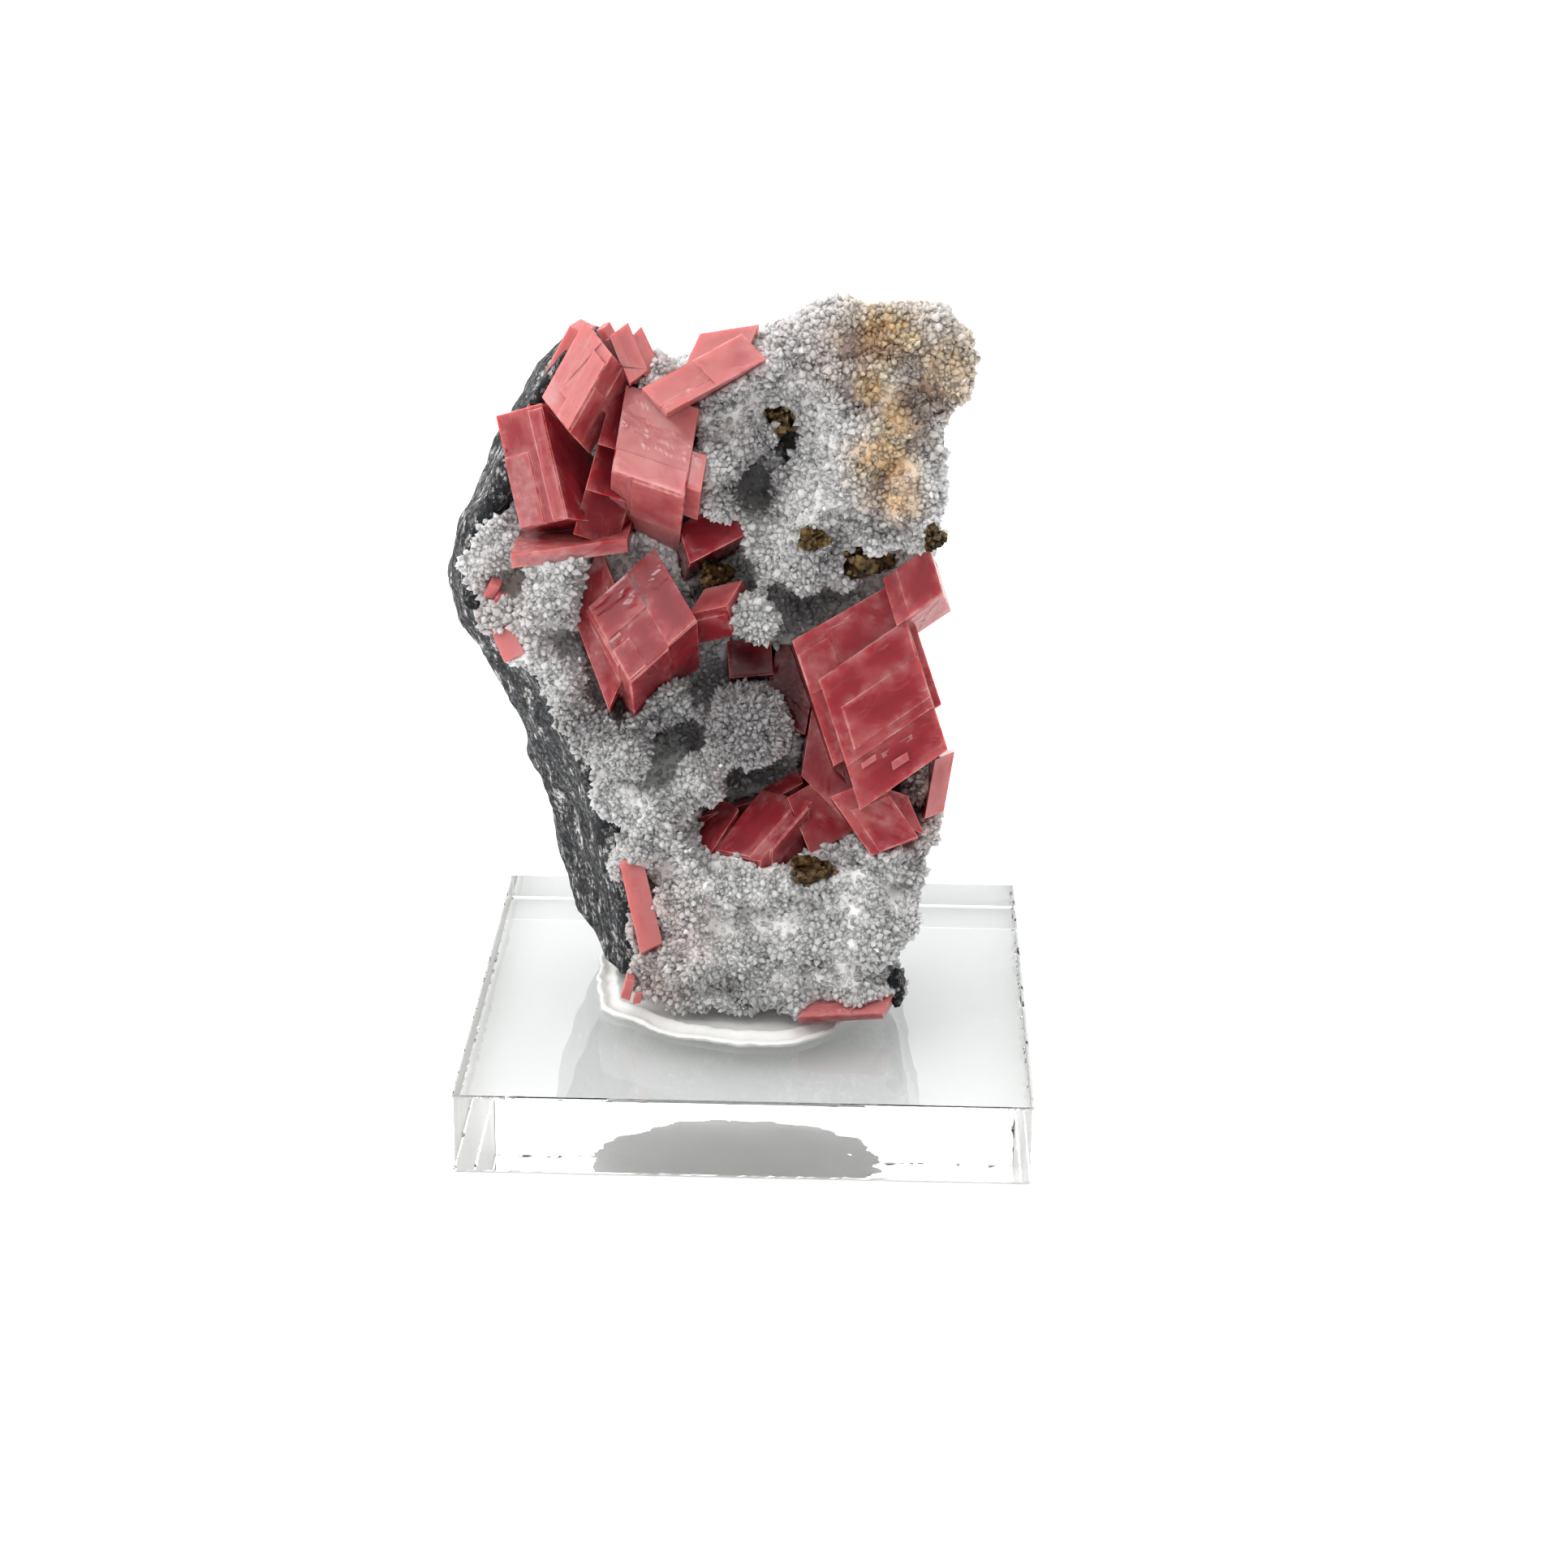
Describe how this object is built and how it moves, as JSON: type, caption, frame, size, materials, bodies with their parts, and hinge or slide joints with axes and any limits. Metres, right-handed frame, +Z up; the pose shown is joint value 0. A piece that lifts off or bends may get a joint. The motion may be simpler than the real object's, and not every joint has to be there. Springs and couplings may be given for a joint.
{
  "type": "rhodochrosite specimen",
  "caption": "Mounted mineral specimen: pink rhombohedral crystals and a spiky white quartz crust on dark rock, set in putty on a clear square base.",
  "frame": {"origin": "centre of the clear base's underside", "axes": "+X to the right of the specimen's display side, +Y away from the display side, +Z up"},
  "size_m": [0.0535, 0.05, 0.0729],
  "materials": {
    "acrylic": "clear cast acrylic, polished faces",
    "putty": "white translucent mounting putty, satin",
    "host_rock": "rough broken rock, black and pale grains in bands",
    "quartz": "translucent grey-white crystal crust, sparkling",
    "rhodochrosite": "glossy translucent pink crystal faces",
    "metallic_grains": "brown grains with a metallic shine"
  },
  "bodies": {
    "root": {"acrylic_base": "acrylic", "blade_top": "rhodochrosite", "grains_edge": "metallic_grains", "grains_left": "metallic_grains", "grains_lower": "metallic_grains", "grains_middle": "metallic_grains", "grains_right": "metallic_grains", "grains_upper": "metallic_grains", "host_rock": "host_rock", "mounting_putty": "putty", "quartz_crust": "quartz", "rhomb_central": "rhodochrosite", "rhomb_foot": "rhodochrosite", "rhomb_left": "rhodochrosite", "rhomb_left_edge": "rhodochrosite", "rhomb_lower_left": "rhodochrosite", "rhomb_right_edge": "rhodochrosite", "rhomb_shaded": "rhodochrosite", "rhomb_small": "rhodochrosite", "rhomb_tall": "rhodochrosite", "rhomb_upper_left": "rhodochrosite", "rhombs_hollow_foot": "rhodochrosite", "rhombs_hollow_wall": "rhodochrosite", "rhombs_right": "rhodochrosite", "splinters_upper_left": "rhodochrosite"}
  },
  "joints": []
}
